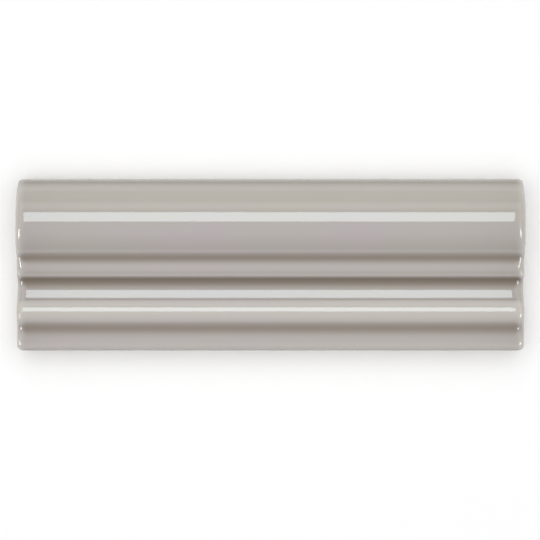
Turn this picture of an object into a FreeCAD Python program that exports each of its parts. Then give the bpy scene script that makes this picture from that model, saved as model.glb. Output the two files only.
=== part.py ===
import FreeCAD, Part
import os
from math import cos, radians, sin

# A dado rail in glazed ceramic: one pressed and fired trim tile, lying on its back.
# X runs along the rail. +Y points to the nose, which is the upper edge once the rail is on a wall.
# +Z points out of the wall, and the back lies on z = 0. Sizes are in millimetres, slopes in degrees.

# Overall sizes. The width is the sum of the runs below, 51.15 mm.
LENGTH = 150.0
THICKNESS = 17.0

# The section, member by member from the upper edge down to the lower edge. A run is measured
# straight across the rail. A slope is the face's angle to the back where the member ends:
# positive while the face still rises away from the wall, and negative once it falls back to it.
TOP_EDGE_RUN = 1.0
TOP_EDGE_SLOPE = 64.0
NOSE_RISE_RUN = 12.6
NOSE_FALL_RUN = 8.2
NOSE_FALL_SLOPE = -36.0
QUIRK_LIP_RUN = 0.3
QUIRK_SLOPE = -52.0
QUIRK_WALL_RUN = 0.35
QUIRK_ROOT_RUN = 1.3
QUIRK_ROOT_SLOPE = -7.0
OGEE_HOLLOW_RUN = 1.85
OGEE_HOLLOW_SLOPE = -1.5
OGEE_SWELL_RUN = 3.1
OGEE_SWELL_SLOPE = -14.0
STEP_LIP_RUN = 0.25
STEP_SLOPE = -55.0
STEP_WALL_RUN = 0.35
STEP_ROOT_RUN = 0.9
STEP_ROOT_SLOPE = -10.6
COVE_RUN = 7.1
COVE_SLOPE = 25.4
TORUS_RISE_RUN = 2.6
TORUS_FALL_RUN = 2.95
TORUS_FALL_SLOPE = -26.0
FOOT_COVE_RUN = 2.4
FOOT_COVE_SLOPE = -1.0
FOOT_BAND_RUN = 3.8
LOWER_EDGE_RUN = 2.1

# The rounding over the two ends, and the four upright corners seen from the front.
END_ROUND = 2.2
CORNER_RADIUS = 1.2

# The moulded face is drawn this much past the four sides and trimmed there, which leaves
# a fine arris between its rounded edges and the flat sides.
SIDE_TRIM = 0.05

# The back: a plain rim round straight keys for the adhesive, with a fettled edge.
KEY_COUNT = 6
KEY_WIDTH = 3.2
KEY_DEPTH = 1.2
KEY_DRAFT = 20.0
BACK_RIM = 4.8
FETTLED_EDGE = 0.5


def point(x, y, z):
    return FreeCAD.Vector(x, y, z)


class Section:
    """A chain of tangent arcs and straights, drawn from the upper edge across the face."""

    def __init__(self):
        self.edges = []
        self.end = point(0, 0, 0)
        self.slope = 90.0

    def curve(self, run, slope):
        """An arc that crosses the run and ends at the slope, hollow where the slope grows."""
        side = 1 if slope < self.slope else -1
        first = radians(self.slope)
        last = radians(slope)
        radius = run / abs(sin(first) - sin(last))
        start = self.end

        def on_arc(angle):
            across = sin(angle) - sin(first)
            out = cos(angle) - cos(first)
            return start + point(0, side * radius * across, side * radius * out)

        self.end = on_arc(last)
        self.slope = slope
        self.edges.append(Part.Arc(start, on_arc((first + last) / 2), self.end).toShape())

    def straight(self, run):
        """A flat face that crosses the run at the slope reached so far."""
        angle = radians(self.slope)
        start = self.end
        self.end = start + point(0, -run, run * sin(angle) / cos(angle))
        self.edges.append(Part.LineSegment(start, self.end).toShape())


def draw_nose(section):
    """The quarter-round nose, and the height of its crest over the start of the chain."""
    section.curve(TOP_EDGE_RUN + SIDE_TRIM, TOP_EDGE_SLOPE)
    section.curve(NOSE_RISE_RUN, 0.0)
    crest = section.end.z
    section.curve(NOSE_FALL_RUN, NOSE_FALL_SLOPE)
    return crest


def draw_ogee(section):
    """The quirk under the nose, then a shallow ogee that ends at a small step."""
    section.curve(QUIRK_LIP_RUN, QUIRK_SLOPE)
    section.straight(QUIRK_WALL_RUN)
    section.curve(QUIRK_ROOT_RUN, QUIRK_ROOT_SLOPE)
    section.curve(OGEE_HOLLOW_RUN, OGEE_HOLLOW_SLOPE)
    section.curve(OGEE_SWELL_RUN, OGEE_SWELL_SLOPE)
    section.curve(STEP_LIP_RUN, STEP_SLOPE)
    section.straight(STEP_WALL_RUN)
    section.curve(STEP_ROOT_RUN, STEP_ROOT_SLOPE)


def draw_cove_and_torus(section):
    """The wide cove that sweeps up into the torus."""
    section.curve(COVE_RUN, COVE_SLOPE)
    section.curve(TORUS_RISE_RUN, 0.0)
    section.curve(TORUS_FALL_RUN, TORUS_FALL_SLOPE)


def draw_foot(section):
    """The hollow under the torus, the flat band and the rounded lower edge."""
    section.curve(FOOT_COVE_RUN, FOOT_COVE_SLOPE)
    section.straight(FOOT_BAND_RUN)
    section.curve(LOWER_EDGE_RUN + SIDE_TRIM, -90.0)


def section_face(floor):
    """The closed section, centred on Y, with its crest at THICKNESS, and the rail's width."""
    section = Section()
    crest = draw_nose(section)
    draw_ogee(section)
    draw_cove_and_torus(section)
    draw_foot(section)
    drawn_width = -section.end.y
    base = floor - THICKNESS + crest
    lower_base = point(0, -drawn_width, base)
    upper_base = point(0, 0, base)
    section.edges.append(Part.LineSegment(section.end, lower_base).toShape())
    section.edges.append(Part.LineSegment(lower_base, upper_base).toShape())
    section.edges.append(Part.LineSegment(upper_base, point(0, 0, 0)).toShape())
    outline = Part.Wire(section.edges)
    outline.translate(point(0, drawn_width / 2, THICKNESS - crest))
    return outline, drawn_width - 2 * SIDE_TRIM


def end_to_end_path(radius):
    """The way each point of the section travels: up round one end, along, and down the other."""
    shoulder = LENGTH / 2 - END_ROUND
    end = shoulder + radius
    half_turn = radius * sin(radians(45))
    left = Part.Arc(
        point(-end, 0, -radius),
        point(-shoulder - half_turn, 0, half_turn - radius),
        point(-shoulder, 0, 0),
    )
    right = Part.Arc(
        point(shoulder, 0, 0),
        point(shoulder + half_turn, 0, half_turn - radius),
        point(end, 0, -radius),
    )
    along = Part.LineSegment(point(-shoulder, 0, 0), point(shoulder, 0, 0))
    return Part.Wire([left.toShape(), along.toShape(), right.toShape()])


def swept_face(outline):
    """The section carried along the path without turning, so that both ends are rounded over."""
    radius = END_ROUND + SIDE_TRIM
    outline.translate(point(END_ROUND - LENGTH / 2 - radius, 0, -radius))
    sweep = Part.BRepOffsetAPI.MakePipeShell(end_to_end_path(radius))
    sweep.setTrihedronMode(point(0, 0, 0), point(0, 1, 0))
    sweep.add(outline, False, False)
    sweep.build()
    sweep.makeSolid()
    return sweep.shape()


def plan_block(width):
    """A block on the back plane with the rail's outline from the front and its fettled edge."""
    block = Part.makeBox(LENGTH, width, 2 * THICKNESS, point(-LENGTH / 2, -width / 2, 0))
    upright = [edge for edge in block.Edges if edge.BoundBox.ZLength > THICKNESS]
    block = block.makeFillet(CORNER_RADIUS, upright)
    back_edges = [edge for edge in block.Edges if edge.BoundBox.ZMax < FETTLED_EDGE]
    return block.makeChamfer(FETTLED_EDGE, back_edges)


def key_channel(y):
    """One straight channel in the back, narrower at its bottom so that it leaves the die."""
    mouth = KEY_WIDTH / 2
    bottom = mouth - KEY_DEPTH * sin(radians(KEY_DRAFT)) / cos(radians(KEY_DRAFT))
    start = BACK_RIM - LENGTH / 2
    corners = [
        point(start, y - mouth, 0),
        point(start, y + mouth, 0),
        point(start, y + bottom, KEY_DEPTH),
        point(start, y - bottom, KEY_DEPTH),
    ]
    outline = Part.makePolygon(corners + corners[:1])
    return Part.Face(outline).extrude(point(LENGTH - 2 * BACK_RIM, 0, 0))


def back_keys(width):
    """The row of channels, evenly spaced between the rims."""
    pitch = (width - 2 * BACK_RIM) / KEY_COUNT
    first = (1 - KEY_COUNT) * pitch / 2
    return [key_channel(first + index * pitch) for index in range(KEY_COUNT)]


def dado_rail():
    outline, width = section_face(-2 * END_ROUND)
    rail = swept_face(outline).common(plan_block(width))
    return rail.cut(Part.makeCompound(back_keys(width))).Solids[0]


os.makedirs("parts", exist_ok=True)
dado_rail().exportStep("parts/dado_rail.step")
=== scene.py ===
# %% [markdown]
# # A glazed ceramic dado rail
# This lesson dresses one ceramic trim tile. The frame holds its real size and its section. Here it
# gets the surface that a kiln gives it: a glaze that melted, ran level over every arris and pooled in
# every hollow. Lengths are in metres, unless a name or a sentence says otherwise.

# %% The frame
from functools import cached_property
from math import cos, radians, sin, tan

import bmesh
import bpy
import numpy as np
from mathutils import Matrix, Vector


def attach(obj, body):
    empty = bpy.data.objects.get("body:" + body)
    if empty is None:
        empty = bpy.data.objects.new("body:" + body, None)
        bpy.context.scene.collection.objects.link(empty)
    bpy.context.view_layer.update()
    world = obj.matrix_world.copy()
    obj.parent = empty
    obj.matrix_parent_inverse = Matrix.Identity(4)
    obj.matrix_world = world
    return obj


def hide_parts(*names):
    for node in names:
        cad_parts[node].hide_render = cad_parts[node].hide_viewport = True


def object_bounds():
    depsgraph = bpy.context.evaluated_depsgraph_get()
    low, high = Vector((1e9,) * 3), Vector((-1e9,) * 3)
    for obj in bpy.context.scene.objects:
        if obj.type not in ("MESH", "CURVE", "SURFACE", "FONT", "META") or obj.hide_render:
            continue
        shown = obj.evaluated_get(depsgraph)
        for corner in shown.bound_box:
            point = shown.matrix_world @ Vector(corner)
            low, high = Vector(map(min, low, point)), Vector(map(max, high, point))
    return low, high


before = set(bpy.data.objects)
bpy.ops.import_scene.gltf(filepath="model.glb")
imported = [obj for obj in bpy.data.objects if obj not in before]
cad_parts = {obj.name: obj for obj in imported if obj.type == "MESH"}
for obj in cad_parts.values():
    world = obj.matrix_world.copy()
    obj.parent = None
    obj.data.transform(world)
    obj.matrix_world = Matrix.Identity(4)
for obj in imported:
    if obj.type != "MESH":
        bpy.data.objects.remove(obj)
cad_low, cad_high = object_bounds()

MM = 0.001
LENGTH = cad_high.x - cad_low.x
WIDTH = cad_high.y - cad_low.y
THICKNESS = cad_high.z - cad_low.z
print(f"rail: {LENGTH / MM:.1f} x {WIDTH / MM:.1f} x {THICKNESS / MM:.1f} mm")

# %% [markdown]
# ## The section
# A plasterer runs a cornice with a template, and this mesh is run the same way. The template is a
# list of members: how far each goes across the rail in millimetres, and the slope of the face where
# it ends in degrees, positive while it climbs and negative once it falls back to the wall. Every
# member starts at the slope where the one before it ended, so the whole face is smooth.

# %% The members of the section
TOP_EDGE = (1.0, 64)
NOSE = [(12.6, 0), (8.2, -36)]
QUIRK = [(0.3, -52), (0.35, -52), (1.3, -7)]
OGEE = [(1.85, -1.5), (3.1, -14)]
STEP = [(0.25, -55), (0.35, -55), (0.9, -10.6)]
COVE = (7.1, 25.4)
TORUS = [(2.6, 0), (2.95, -26)]
FOOT = [(2.4, -1), (3.8, -1), (2.1, -90)]
MEMBERS = [TOP_EDGE, *NOSE, *QUIRK, *OGEE, *STEP, COVE, *TORUS, *FOOT]


def outward(slope):
    """The direction that a face of this slope looks in, in the plane of the section."""
    return Vector((0, sin(slope), cos(slope)))


def member_end(place, slope, run, next_slope):
    """Where a member ends: on its arc, or on a straight if the slope stays the same."""
    if next_slope == slope:
        return place + Vector((0, -run, run * tan(slope)))
    radius = run / (sin(slope) - sin(next_slope))
    return place + radius * (outward(next_slope) - outward(slope))


def chain(members, place):
    """The place and slope at each joint of a chain of members."""
    joints = [(place, radians(90))]
    for run, degrees in members:
        place, slope = joints[-1]
        joints.append((member_end(place, slope, run * MM, radians(degrees)), radians(degrees)))
    return joints


crest_rise = chain([TOP_EDGE, NOSE[0]], Vector((0, 0, 0)))[-1][0].z
EDGE_HEIGHT = THICKNESS - crest_rise
JOINTS = chain(MEMBERS, Vector((0, WIDTH / 2, EDGE_HEIGHT)))
print(f"upper side {EDGE_HEIGHT / MM:.2f} mm high, lower side {JOINTS[-1][0].z / MM:.2f} mm high")


# %% [markdown]
# ## Selecting by place
# Edit mode acts on what is selected. By hand one would click on it, but a script picks its vertices
# by where they are, which still finds them when a size changes.

# %% Editing helpers
def take(piece):
    """Makes a piece the active one, and the only one selected."""
    bpy.ops.object.select_all(action="DESELECT")
    piece.select_set(True)
    bpy.context.view_layer.objects.active = piece


def edit(piece):
    take(piece)
    bpy.ops.object.mode_set(mode="EDIT")
    bpy.ops.mesh.select_mode(type="VERT")
    bpy.ops.mesh.select_all(action="DESELECT")


def leave_edit():
    bpy.ops.object.mode_set(mode="OBJECT")


def pick(piece, chosen):
    """Selects the vertices whose place the test accepts."""
    mesh = bmesh.from_edit_mesh(piece.data)
    for vertex in mesh.verts:
        vertex.select = chosen(vertex.co)
    mesh.select_flush_mode()
    bmesh.update_edit_mesh(piece.data)


def extrude(x=0.0, y=0.0, z=0.0):
    bpy.ops.mesh.extrude_edges_move(TRANSFORM_OT_translate={"value": (x, y, z)})


def resize(factors, centre):
    """Scales what is picked about a centre, and flattens it where a factor is zero."""
    bpy.ops.transform.resize(value=factors, center_override=centre)


def settle(piece):
    """Applies the object's own place and size, so that both are in its mesh."""
    take(piece)
    bpy.ops.object.transform_apply(location=True, rotation=True, scale=True)


# %% [markdown]
# ## Running the face
# The start is one row of a narrow grid that stands at the top of the upper side. Its upper edge is
# spun about the centre of each arc in turn. A bevelled curve would give nearly the same shape, but a
# spin is exact, because every member is an arc. Its rows are evenly spaced too, which keeps the
# reflections straight.

# %% The straight run
FACET = 0.3 * MM
COLUMN = 1.5 * MM
END_ZONE = 3.4 * MM
EPSILON = 0.001 * MM


def run_member(joint, next_joint):
    """Carries the selected row over one member."""
    place, slope = joint
    next_place, next_slope = next_joint
    if next_slope == slope:
        step = next_place - place
        rows = max(1, round(step.length / FACET))
        for _ in range(rows):
            extrude(y=step.y / rows, z=step.z / rows)
        return
    radius = (place.y - next_place.y) / (sin(slope) - sin(next_slope))
    turn = slope - next_slope
    steps = max(2, round(abs(radius * turn) / FACET))
    centre = place - radius * outward(slope)
    bpy.ops.mesh.spin(steps=steps, angle=-turn, center=centre, axis=(1, 0, 0))


def run_face():
    """Makes the first row and carries it over the whole section."""
    run_length = LENGTH - 2 * END_ZONE
    bpy.ops.mesh.primitive_grid_add(
        x_subdivisions=round(run_length / COLUMN),
        y_subdivisions=1,
        size=1,
        rotation=(radians(90), 0, 0),
        location=(0, WIDTH / 2, EDGE_HEIGHT - FACET / 2),
    )
    piece = bpy.context.object
    piece.name = "glazed_rail"
    piece.scale = (run_length, FACET, 1)
    settle(piece)
    edit(piece)
    pick(piece, lambda co: co.z > EDGE_HEIGHT - FACET / 2)
    for joint, next_joint in zip(JOINTS, JOINTS[1:]):
        run_member(joint, next_joint)
    leave_edit()
    return piece


rail = run_face()
print(f"the run has {len(rail.data.polygons)} faces")

# %% [markdown]
# ## Lengthening the run
# The die rounds the rail over at both ends. A bevel would make every edge equally round, but these
# ends change across the section. So the run is first extruded flat, in columns that stand closer
# together towards the end, where the surface will bend most.

# %% The columns at both ends
END_COLUMNS = 15


def extend_ends(piece):
    """Adds columns at both ends that grow closer together towards the end."""
    start = LENGTH / 2 - END_ZONE
    angles = [radians(90 * column / END_COLUMNS) for column in range(END_COLUMNS + 1)]
    reach = [END_ZONE * sin(angle) for angle in angles]
    edit(piece)
    for side in (-1, 1):
        pick(piece, lambda co: side * co.x > start - EPSILON)
        for near, far in zip(reach, reach[1:]):
            extrude(x=side * (far - near))
    leave_edit()


extend_ends(rail)
print(f"with its ends the run has {len(rail.data.polygons)} faces")

# %% [markdown]
# ## Rounding the ends
# On the nose the rounding is a quarter circle. From the quirk down it opens more and more, into a
# shallow bowl that ends at an edge, because the glaze fills the hollows there. Each vertex is lowered
# by a mix of circle and bowl. Each station below gives a place across the rail and the width of the
# rounding there, both in millimetres, and how open it is, from 0 for the circle to 1 for the bowl.
# The white dots in the photograph fix them: a dot shows where a rounded end leans just enough to
# mirror a lamp.

# %% The rounding
BOWL_DEPTH = 0.57
END_STATIONS = [(0, 1.6, 0.05), (13, 2.5, 0.05), (21.2, 1.6, 0.2), (24.2, 1.65, 0.2), (26.6, 2.3, 0.5),
                (28.6, 0.8, 0.25), (29.3, 1.45, 0.25), (30.6, 2.4, 0.3), (33, 2.4, 0.4),
                (34.5, 2.5, 0.75), (38.5, 1.4, 0.85), (41.5, 1.6, 0.65), (44.2, 2.3, 0.95),
                (48, 1.4, 0.9), (51, 1.65, 0.85)]


def vectors_of(piece, kind):
    """One row for each vertex: its place for "co", or its normal for "normal"."""
    flat = np.empty(3 * len(piece.data.vertices))
    piece.data.vertices.foreach_get(kind, flat)
    return flat.reshape(-1, 3)


def put(piece, coordinates):
    piece.data.vertices.foreach_set("co", coordinates.astype(np.float32).ravel())
    piece.data.update()


def from_edges(co):
    """How far each place lies from the nearer end and from the upper edge, in millimetres."""
    from_end = (LENGTH / 2 - np.abs(co[:, 0])) / MM
    across = (WIDTH / 2 - co[:, 1]) / MM
    return from_end, across


def round_ends(piece):
    """Lowers each vertex by how far it lies into the rounding."""
    co = vectors_of(piece, "co")
    from_end, across = from_edges(co)
    stations, widths, opens = np.array(END_STATIONS).T
    width = np.interp(across, stations, widths)
    openness = np.interp(across, stations, opens)
    into = np.clip(1 - from_end / width, 0, 1)
    circle = 1 - np.sqrt(1 - into**2)
    bowl = BOWL_DEPTH * into**2
    drop = width * (circle + openness * (bowl - circle))
    co[:, 2] -= drop * MM
    put(piece, co)
    print(f"the ends drop by up to {drop.max():.2f} mm")


round_ends(rail)

# %% [markdown]
# ## The sides
# The rim of the face is extruded down, first in short rows that the glaze can round, and then to the
# fettled edge, where the maker scraped the raw clay, and on to the flat back.

# %% Down to the back
RIM_ROWS = 8
FETTLED_EDGE = 0.5 * MM


def drop_sides(piece):
    edit(piece)
    bpy.ops.mesh.select_all(action="SELECT")
    bpy.ops.mesh.region_to_loop()
    for _ in range(RIM_ROWS):
        extrude(z=-FACET)
    extrude()
    resize((1, 1, 0), (0, 0, FETTLED_EDGE))
    extrude()
    resize((1 - 2 * FETTLED_EDGE / LENGTH, 1 - 2 * FETTLED_EDGE / WIDTH, 0), (0, 0, 0))
    bpy.ops.mesh.edge_face_add()
    bpy.ops.mesh.select_all(action="SELECT")
    bpy.ops.mesh.normals_make_consistent(inside=False)
    leave_edit()


drop_sides(rail)
print(f"with its sides the rail has {len(rail.data.polygons)} faces")

# %% [markdown]
# ## The corners
# Seen from the front the rail is still a sharp rectangle. Its corners are pulled in to arcs, which
# leaves the columns of the ends as they are. A bevel there would cut through all of them.

# %% The corners of the outline
UPPER_CORNER = 1.0 * MM
LOWER_CORNER = 1.4 * MM


def round_corners(piece):
    """Turns each square corner of the outline into a quarter circle."""
    co = vectors_of(piece, "co")
    radius = np.where(co[:, 1:2] > 0, UPPER_CORNER, LOWER_CORNER)
    inner = np.array([LENGTH / 2, WIDTH / 2]) - radius
    beyond = np.clip(np.abs(co[:, :2]) - inner, 0, None)
    square = beyond.max(axis=1)
    around = np.hypot(beyond[:, 0], beyond[:, 1])
    corner = beyond.min(axis=1) > 0
    shrink = np.where(corner, square / np.maximum(around, EPSILON), 1)[:, None]
    rounded = np.sign(co[:, :2]) * (inner + beyond * shrink)
    co[:, :2] = np.where(corner[:, None], rounded, co[:, :2])
    put(piece, co)
    print(f"{corner.sum()} vertices pulled in at the corners")


round_corners(rail)

# %% [markdown]
# ## The melt
# Molten glaze levels itself. Smoothing the vertices a few times does the same, because each one moves
# to the mean of its neighbours. It rounds a sharp arris and leaves a broad curve alone, which a bevel
# of one width can't do.

# %% Melting the surface
MELT = 4
SMOOTHING = 0.5


def above_sides(co):
    return co.z > FETTLED_EDGE + EPSILON


def melt(piece, times):
    edit(piece)
    pick(piece, above_sides)
    bpy.ops.mesh.vertices_smooth(factor=SMOOTHING, repeat=times)
    leave_edit()


melt(rail, MELT)
print(f"the melt took {(THICKNESS - vectors_of(rail, 'co')[:, 2].max()) / MM:.4f} mm off the crest")

# %% [markdown]
# ## The pools and the painted shading
# What leaves the edges gathers in the hollows. Each pool is deepest at one line along the rail and
# shallows out on both sides, furthest down the gentle side of its hollow. The same bells also paint
# light and shade into the colour. In the hollows the dark is partly pooled glaze and partly painted
# shade; along both edges and down the fall of the nose it is painted shade. A bell of negative depth
# lightens the colour: on the rise of the nose and at the end of the cove as painted light, and on the
# torus partly as thin glaze and partly as painted light. A bell is given as its line across the rail,
# its depth, and its spread up and down. Here and in the next step, lengths are in millimetres, and a
# depth of 1 is a deep pool. The rounded ends keep only a share of every bell, and so does an upright
# side. Painting the depth by hand would work too, but would not follow the section.

# %% The pooled glaze and the painted shading
# Bells of glaze depth: pooled glaze and painted shade where positive, painted light where negative.
POOLS_AND_PAINTED_SHADING = {
    "upper edge": (1.2, 0.48, 0.7, 1.15),
    "rise of the nose": (3.9, -0.42, 2.2, 2.6),
    "fall of the nose": (21.1, 0.14, 5.0, 0.4),
    "under the nose": (23.65, 0.66, 1.05, 1.28),
    "over the step": (28.5, 0.27, 1.1, 0.3),
    "under the step": (29.95, 1.1, 0.55, 1.97),
    "cove": (34.9, 0.05, 1.5, 0.7),
    "line in the cove": (36.0, 0.3, 0.25, 0.27),
    "end of the cove": (37.2, -0.35, 0.75, 1.4),
    "torus": (40.0, -0.5, 2.4, 1.9),
    "under the torus": (44.4, 0.58, 1.7, 1.65),
    "lower edge": (51.0, 0.7, 0.35, 0.8),
}
POOL_AND_SHADING_END = 2.4
LEFT_AT_END = 0.4
STEEPEST = 0.4
LEFT_ON_SIDES = 0.55


def pool_and_shading_depth(across, pool_and_shading):
    """A bell of pooled glaze and painted shading over the distance from its line, with its own spread
    on each side.
    """
    line, depth, spread_up, spread_down = pool_and_shading
    spread = np.where(across < line, spread_up, spread_down)
    return depth * np.exp(-(((across - line) / spread) ** 2))


def left_at_ends(from_end):
    """How much of each bell of pooled glaze and painted shading is left this far from the end: a smooth
    step from the end inwards.
    """
    step = np.clip(from_end / POOL_AND_SHADING_END, 0, 1)
    return LEFT_AT_END + (1 - LEFT_AT_END) * step**2 * (3 - 2 * step)


def pooled_and_shaded_depth(piece):
    # The bells summed: pooled glaze with painted shade, and painted light where the sum is negative.
    from_end, across = from_edges(vectors_of(piece, "co"))
    pooled_and_shaded = sum(pool_and_shading_depth(across, pool_and_shading) for pool_and_shading in POOLS_AND_PAINTED_SHADING.values()) * left_at_ends(from_end)
    return pooled_and_shaded * np.clip(vectors_of(piece, "normal")[:, 2] / STEEPEST, LEFT_ON_SIDES, 1)


pooled_and_shaded = pooled_and_shaded_depth(rail)
print(f"pools from {pooled_and_shaded.min():.2f} to {pooled_and_shaded.max():.2f}")

# %% [markdown]
# ## The thin glaze and the painted light at the ends
# On an arris the glaze runs thin. A second, longer melt on a copy shows where: the copy sinks below
# the rail along every edge that stands out. The rim of both ends is lightened too, partly as thin
# glaze and partly as painted light on the rounded ends. Pools, thin places and painted light and shade
# together go into an attribute of the mesh, which the colour of the glaze reads. It is zero for the
# usual coat, above zero where glaze pooled or shade is painted, and below zero where the body shows
# through a thin coat or light is painted.

# %% The depth of the glaze, with painted light and shade
LONG_MELT = 30
THINNING = 2.5
# How much the rim of both ends is lightened, by thin glaze and painted light, and over what width.
THIN_AND_PAINTED_LIGHT_AT_END = 0.7
THIN_AND_PAINTED_LIGHT_WIDTH = 1.2


def thinning(piece):
    """How far in millimetres a long melt would sink each vertex below the face."""
    twin = piece.copy()
    twin.data = piece.data.copy()
    bpy.context.scene.collection.objects.link(twin)
    melt(twin, LONG_MELT)
    moved = vectors_of(twin, "co") - vectors_of(piece, "co")
    bpy.data.objects.remove(twin)
    rise = (moved * vectors_of(piece, "normal")).sum(axis=1) / MM
    return np.clip(-rise, 0, None)


def record_glaze_and_shading_depth(piece, pooled_and_shaded):
    from_end, _ = from_edges(vectors_of(piece, "co"))
    # The rim of both ends: thin glaze and painted light.
    thin_and_painted_light = THIN_AND_PAINTED_LIGHT_AT_END * np.exp(-((from_end / THIN_AND_PAINTED_LIGHT_WIDTH) ** 2))
    depth = pooled_and_shaded - THINNING * thinning(piece) - thin_and_painted_light
    attribute = piece.data.attributes.new("glaze_and_shading_depth", "FLOAT", "POINT")
    attribute.data.foreach_set("value", depth.astype(np.float32))
    print(f"glaze depth from {depth.min():.2f} to {depth.max():.2f}")


record_glaze_and_shading_depth(rail, pooled_and_shaded)

# %% [markdown]
# ## The keyed back
# The back is pressed with straight channels that the tile adhesive fills. Each is a slightly tapered
# bar cut away with a boolean, so that its sides lean as they must to leave the die. The back is one
# flat face, so a boolean is cleaner here than insets.

# %% The keys
KEY_COUNT = 6
KEY_WIDTH = 3.2 * MM
KEY_DEPTH = 1.2 * MM
KEY_DRAFT = radians(20)
BACK_RIM = 4.8 * MM


def key_bar(y):
    """A bar as long as a channel, narrower at its top, that stands through the back plane."""
    bpy.ops.mesh.primitive_cube_add(size=1, location=(0, y, 0))
    bar = bpy.context.object
    bar.scale = (LENGTH - 2 * BACK_RIM, KEY_WIDTH, 2 * KEY_DEPTH)
    settle(bar)
    edit(bar)
    pick(bar, lambda co: co.z > 0)
    narrowed = 1 - 2 * KEY_DEPTH * tan(KEY_DRAFT) / KEY_WIDTH
    resize((1, narrowed, 1), (0, y, 0))
    leave_edit()
    return bar


def cut_away(piece, tool):
    cut = piece.modifiers.new("key", "BOOLEAN")
    cut.operation = "DIFFERENCE"
    cut.solver = "EXACT"
    cut.object = tool
    take(piece)
    bpy.ops.object.modifier_apply(modifier=cut.name)
    bpy.data.objects.remove(tool)


pitch = (WIDTH - 2 * BACK_RIM) / KEY_COUNT
for index in range(KEY_COUNT):
    cut_away(rail, key_bar((index - (KEY_COUNT - 1) / 2) * pitch))
print(f"{KEY_COUNT} keys, {pitch / MM:.2f} mm apart")

# %% [markdown]
# ## Smooth shading
# Glaze has no facets, so faces that meet at a small angle are shaded as one surface. The edges of the
# keys meet more sharply, and stay crisp.

# %% The shading
SMOOTH_BELOW = radians(40)

take(rail)
bpy.ops.object.shade_smooth_by_angle(angle=SMOOTH_BELOW)
print(f"{rail.name}: {len(rail.data.polygons)} faces")

# %% [markdown]
# ## Shader maths
# Node trees get long when every sum is a node made by hand. This small class wraps a socket, so that
# an expression such as 1 - mask adds the Math node by itself.

# %% A socket that can be reckoned with
class Value:
    def __init__(self, tree, socket):
        self.tree = tree
        self.socket = socket

    def _math(self, operation, *others):
        node = self.tree.nodes.new("ShaderNodeMath")
        node.operation = operation
        for slot, other in zip(node.inputs, others):
            if isinstance(other, Value):
                self.tree.links.new(other.socket, slot)
            else:
                slot.default_value = other
        return Value(self.tree, node.outputs[0])

    def __add__(self, other):
        return self._math("ADD", self, other)

    def __sub__(self, other):
        return self._math("SUBTRACT", self, other)

    def __rsub__(self, other):
        return self._math("SUBTRACT", other, self)

    def __mul__(self, other):
        return self._math("MULTIPLY", self, other)

    def __truediv__(self, number):
        return self * (1 / number)

    def __rpow__(self, base):
        return self._math("POWER", base, self)

    def __neg__(self):
        return self * -1.0

    def __abs__(self):
        return self._math("ABSOLUTE", self)

    def at_least(self, floor):
        return self._math("MAXIMUM", self, floor)

    def clamped(self):
        """The value kept between 0 and 1."""
        return self._math("MINIMUM", self.at_least(0.0), 1.0)


# %% [markdown]
# ## Building a finish
# A finish is a material with its tree of nodes. This class adds nodes by name, and places every
# pattern by the object's own coordinates, so that it stays with the piece when the piece moves. The
# lengths that a finish reads are in millimetres.

# %% One material and its nodes
class Finish:
    def __init__(self, name):
        self.material = bpy.data.materials.new(name)
        self.material.use_nodes = True
        self.tree = self.material.node_tree
        self.shader = self.tree.nodes["Principled BSDF"]

    def feed(self, slot, given):
        """Links a socket or a value to a slot, or sets the slot to a number or colour."""
        if isinstance(given, Value):
            given = given.socket
        if isinstance(given, bpy.types.NodeSocket):
            self.tree.links.new(given, slot)
        else:
            slot.default_value = given

    def fill(self, node, **inputs):
        """Feeds a node's inputs by name."""
        for key, given in inputs.items():
            self.feed(node.inputs[key.replace("_", " ")], given)

    def add(self, kind, settings=None, **inputs):
        """Adds a node, sets it up, then fills its inputs."""
        node = self.tree.nodes.new(kind)
        for key, setting in (settings or {}).items():
            setattr(node, key, setting)
        self.fill(node, **inputs)
        return node

    def join(self, kind, *given):
        """Adds a node that takes its inputs in order, and gives back its output."""
        node = self.add(kind)
        for slot, each in zip(node.inputs, given):
            self.feed(slot, each)
        return node.outputs[0]

    def value(self, node, output=0):
        return Value(self.tree, node.outputs[output])

    @cached_property
    def coordinates(self):
        return self.add("ShaderNodeTexCoord").outputs["Object"]

    @cached_property
    def place(self):
        """Where on the piece a point lies, along, across and up, in millimetres."""
        split = self.add("ShaderNodeSeparateXYZ", Vector=self.coordinates)
        return [self.value(split, axis) / MM for axis in range(3)]

    def noise(self, size, detail=2.0):
        """Cloudy noise from 0 to 1, with clouds of about this size in millimetres."""
        scale = 1 / (size * MM)
        return self.value(
            self.add("ShaderNodeTexNoise", Vector=self.coordinates, Scale=scale, Detail=detail)
        )

    def mix(self, share, low, high):
        """A colour between two others."""
        node = self.add("ShaderNodeMix", {"data_type": "RGBA"})
        slots = {slot.identifier: slot for slot in [*node.inputs, *node.outputs]}
        self.feed(slots["Factor_Float"], share)
        self.feed(slots["A_Color"], low)
        self.feed(slots["B_Color"], high)
        return slots["Result_Color"]


# %% [markdown]
# ## The glaze
# The glaze is a faintly grey glass over pale clay. Light crosses it twice, so each step in depth
# takes away the same share of what is left, which is a power of the depth. Deep glaze ends up brown,
# and thin glaze on an arris lets the warm clay through. The depth also carries painted shade, which
# darkens the colour towards the same brown, and painted light, which lightens it towards the thin
# glaze. The kiln left the upper half of the nose a little yellower, and clouds of greener and pinker
# grey drift over the whole face. The last centimetre at both ends is a shade darker. A real layer of
# glass would pool and thin by itself, but it renders slowly and can't be baked.

# %% The colour of the glaze
GLAZE = (0.482, 0.451, 0.437, 1)
GREENER = (0.491, 0.463, 0.415, 1)
PINKER = (0.487, 0.446, 0.446, 1)
AMBER = (0.482, 0.44, 0.389, 1)
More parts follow.
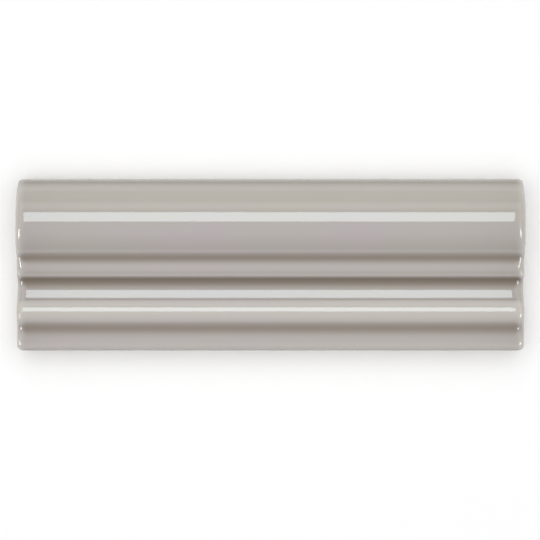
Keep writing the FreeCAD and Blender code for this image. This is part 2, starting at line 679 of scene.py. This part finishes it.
# The colour towards which pooled glaze, painted shade and the darker ends go.
DEEP_GLAZE_AND_PAINTED_SHADE = (0.047, 0.019, 0.0, 1)
# The colour towards which thin glaze and painted light go.
THIN_GLAZE_AND_PAINTED_LIGHT = (0.624, 0.591, 0.539, 1)
LEFT_PER_STEP = 0.37
GREY_LEFT_PER_STEP = 0.03
CLOUD = 22.0
CLOUD_CONTRAST = 4.0
CLOUD_YELLOW = 0.3
YELLOW_FROM = 10.0
YELLOW_OVER = 9.0
END_SHADE = 0.13
END_FADE = 0.895


def glaze_colour(finish):
    depth = finish.value(finish.add("ShaderNodeAttribute", {"attribute_name": "glaze_and_shading_depth"}), "Fac")
    along, across, _ = finish.place
    from_end = LENGTH / 2 / MM - abs(along)
    yellow = ((across - YELLOW_FROM) / YELLOW_OVER).clamped()
    cloud = ((finish.noise(CLOUD) - 0.5) * CLOUD_CONTRAST + 0.5).clamped()
    colour = finish.mix(cloud, PINKER, GLAZE)
    colour = finish.mix((yellow + cloud * CLOUD_YELLOW).clamped(), colour, GREENER)
    # Positive depth, pooled glaze and painted shade, turns the colour amber and dark; negative depth,
    # thin glaze and painted light, turns it pale.
    pooled_and_shaded = depth.at_least(0.0)
    colour = finish.mix(1 - GREY_LEFT_PER_STEP**pooled_and_shaded, colour, AMBER)
    colour = finish.mix(END_FADE**from_end * END_SHADE, colour, DEEP_GLAZE_AND_PAINTED_SHADE)
    colour = finish.mix(1 - LEFT_PER_STEP**pooled_and_shaded, colour, DEEP_GLAZE_AND_PAINTED_SHADE)
    return finish.mix((-depth).clamped(), colour, THIN_GLAZE_AND_PAINTED_LIGHT)


# %% [markdown]
# ## The bare clay
# Glaze is wiped off the foot of a tile before firing, or it would fuse to the kiln shelf. Below that
# line and on the back the clay is bare: matt, cream and finely grained, with a little white kiln wash
# where it stood on the shelf. Noise of two sizes makes both, since fired clay has no pattern.

# %% The colour of the clay
BISQUE = (0.62, 0.54, 0.44, 1)
BISQUE_PALE = (0.7, 0.63, 0.54, 1)
BISQUE_CLOUD = 6.0
KILN_WASH = (0.76, 0.73, 0.68, 1)
WASH_CLOUD = 14.0
WASH_FROM = 0.4
WASH_CONTRAST = 4.0
WASH_HEIGHT = 0.15
WASH_COVER = 0.7


def clay_colour(finish):
    height = finish.place[2]
    bisque = finish.mix(finish.noise(BISQUE_CLOUD, detail=5.0), BISQUE, BISQUE_PALE)
    on_shelf = (1 - height / WASH_HEIGHT).clamped()
    patches = ((finish.noise(WASH_CLOUD, detail=4.0) - WASH_FROM) * WASH_CONTRAST).clamped()
    return finish.mix(on_shelf * patches * WASH_COVER, bisque, KILN_WASH)


# %% [markdown]
# ## Where the glaze ends
# The glaze ends in a wavy line low on the sides, and stands a little proud of the clay there. One
# mask, 1 on the glaze and 0 on the clay, switches the colour and the roughness and raises the glaze.
# Under the rail the line is lifted well above the keys, so that they are bare all through.

# %% The whole finish
GLAZE_LINE = 1.2
LINE_CLOUD = 9.0
LINE_WAVE = 0.8
LINE_EDGE = 0.12
BARE_FROM = 2.0
LIFT_UNDER_RAIL = 2 * KEY_DEPTH / MM
GRAIN = 0.35
GRAIN_HEIGHT = 0.3
RELIEF = 0.12 * MM
CLAY_ROUGHNESS = 0.85
GLAZE_ROUGHNESS = 0.02
GLAZE_IOR = 1.6


def glazed_mask(finish):
    """1 where the glaze lies and 0 on the bare clay."""
    along, across, height = finish.place
    past_sides = (abs(along) - LENGTH / 2 / MM).at_least(abs(across) - WIDTH / 2 / MM)
    under = (-past_sides - BARE_FROM).clamped()
    wave = (finish.noise(LINE_CLOUD) - 0.5) * (2 * LINE_WAVE)
    line = wave + GLAZE_LINE + under * LIFT_UNDER_RAIL
    return ((height - line) / LINE_EDGE).clamped()


def fired_finish():
    finish = Finish("glaze_and_bisque")
    glazed = glazed_mask(finish)
    relief = glazed + (1 - glazed) * finish.noise(GRAIN, detail=4.0) * GRAIN_HEIGHT
    bump = finish.add("ShaderNodeBump", Strength=1.0, Distance=RELIEF, Height=relief)
    finish.fill(
        finish.shader,
        Base_Color=finish.mix(glazed, clay_colour(finish), glaze_colour(finish)),
        Roughness=CLAY_ROUGHNESS - glazed * (CLAY_ROUGHNESS - GLAZE_ROUGHNESS),
        IOR=GLAZE_IOR,
        Normal=bump.outputs[0],
    )
    return finish.material


rail.data.materials.clear()
rail.data.materials.append(fired_finish())
print(f"{rail.active_material.name}: {len(rail.active_material.node_tree.nodes)} nodes")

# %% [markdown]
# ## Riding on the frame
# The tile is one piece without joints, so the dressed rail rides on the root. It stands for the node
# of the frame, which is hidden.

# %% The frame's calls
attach(rail, "root")
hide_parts("dado_rail")
print(f"{rail.name} rides on the root and stands for dado_rail")

# %% [markdown]
# ## The table
# The rail lies on a white table that keeps its shadow. The lamps bring the table to just under white.
# A little light of its own, seen by the camera and in reflections but casting nothing on the rail,
# makes it the pure white of a catalogue page. Stronger lamps would do that too, but would bleach the
# glaze.

# %% The white table
TABLE_SIZE = 4
PAPER = (0.95, 0.95, 0.95, 1)
PAPER_ROUGHNESS = 0.9
GLOW = 0.06


def paper_finish():
    finish = Finish("white_paper")
    finish.fill(finish.shader, Base_Color=PAPER, Roughness=PAPER_ROUGHNESS, Specular_IOR_Level=0.0)
    paper = finish.shader.outputs[0]
    glow = finish.add("ShaderNodeEmission", Strength=GLOW).outputs[0]
    glowing = finish.join("ShaderNodeAddShader", paper, glow)
    rays = finish.add("ShaderNodeLightPath")
    straight = finish.value(rays, "Is Camera Ray")
    mirrored = finish.value(rays, "Is Glossy Ray")
    refracted = finish.value(rays, "Is Transmission Ray")
    seen = (straight + mirrored + refracted).clamped()
    look = finish.join("ShaderNodeMixShader", seen, paper, glowing)
    finish.fill(finish.tree.nodes["Material Output"], Surface=look)
    return finish.material


bpy.ops.mesh.primitive_plane_add(size=TABLE_SIZE)
table = bpy.context.object
table.name = "table"
table.data.materials.append(paper_finish())
print(f"{table.name}: {TABLE_SIZE} m wide, glow {GLOW}")

# %% [markdown]
# ## The lights
# One broad soft light overhead does nearly all the lighting, and its size gives the soft shadow all
# round. It isn't mirrored, and the other four lamps are only mirrored. The strip, a little towards the
# nose, draws the three white bands: a face mirrors it wherever it leans at the same slope. The back
# wall brightens the top of the nose. Two lamps beyond the ends put the dots on the rounded edges. A
# sky picture would be quicker, but each lamp here can be moved until its reflection fits.

# %% The lamps
def soft_light(name, place, size, power, target=(0, 0, 0), colour=(1, 1, 1), lights=True, mirrors=True):
    """An area lamp aimed at the rail, which may only light it or only be mirrored in it."""
    light = bpy.data.lights.new(name, "AREA")
    light.shape = "RECTANGLE"
    light.size, light.size_y = size
    light.energy = power
    light.color = colour
    lamp = bpy.data.objects.new(name, light)
    lamp.location = place
    lamp.rotation_euler = (Vector(target) - lamp.location).to_track_quat("-Z", "Y").to_euler()
    lamp.visible_camera = False
    lamp.visible_diffuse = lights
    lamp.visible_glossy = mirrors
    bpy.context.scene.collection.objects.link(lamp)
    print(f"{name}: {power} W, {lamp.location.length:.2f} m away")


COOL_WHITE = (0.84, 0.96, 1.0)
soft_light("overhead", place=(-0.03, 0.02, 0.95), size=(1.8, 1.75), power=14.4, mirrors=False)
soft_light("strip", place=(-0.019, 0.245, 0.757), size=(0.378, 0.315), power=1.8,
           target=(-0.019, 0, 0), colour=COOL_WHITE, lights=False)
soft_light("back_wall", place=(0, 0.86, 0.83), size=(2.0, 0.35), power=1.7, lights=False)
soft_light("left_side", place=(-1.2, -0.356, 0.75), size=(0.456, 0.456), power=7.8, lights=False)
soft_light("right_side", place=(0.55, -0.288, 0.75), size=(0.314, 0.314), power=2.5, lights=False)

# %% [markdown]
# ## The room
# A dim, even, white room fills in what the lamps leave dark, and it is what the glaze mirrors
# wherever it mirrors no lamp.
# The Standard view keeps white as white, where the usual one would grey it.

# %% The room and the view
ROOM_COLOUR = (1, 1, 1, 1)
ROOM_STRENGTH = 0.235

world = bpy.data.worlds.new("room")
world.use_nodes = True
background = world.node_tree.nodes["Background"]
background.inputs["Color"].default_value = ROOM_COLOUR
background.inputs["Strength"].default_value = ROOM_STRENGTH
bpy.context.scene.world = world
bpy.context.scene.view_settings.view_transform = "Standard"
print(f"room strength {ROOM_STRENGTH}")

# %% [markdown]
# ## The camera
# The photograph looks straight down from a little over half a metre. The lens follows from the rail's
# length in pixels, read a little below the crest of the nose. The camera is then moved, but not
# turned, until the middle of the rail falls on the same pixel as in the photograph.

# %% The camera over the rail
CAMERA_HEIGHT = 0.6
FRAME_WIDTH = 540
SENSOR = 36
RAIL_PIXELS = 510.8
RAIL_CENTRE = (270.6, 264.35)
READ_BELOW_CREST = 2.0 * MM

camera_data = bpy.data.cameras.new("camera")
camera = bpy.data.objects.new("camera", camera_data)
bpy.context.scene.collection.objects.link(camera)
distance = CAMERA_HEIGHT - (THICKNESS - READ_BELOW_CREST)
pixel_scale = RAIL_PIXELS / LENGTH
camera_data.sensor_width = SENSOR
camera_data.lens = pixel_scale * distance * SENSOR / FRAME_WIDTH
offset_x = (FRAME_WIDTH / 2 - RAIL_CENTRE[0]) / pixel_scale
offset_y = (RAIL_CENTRE[1] - FRAME_WIDTH / 2) / pixel_scale
camera.location = (offset_x, offset_y, CAMERA_HEIGHT)
bpy.context.scene.camera = camera
print(f"lens {camera_data.lens:.1f} mm, {distance:.3f} m from the rail")
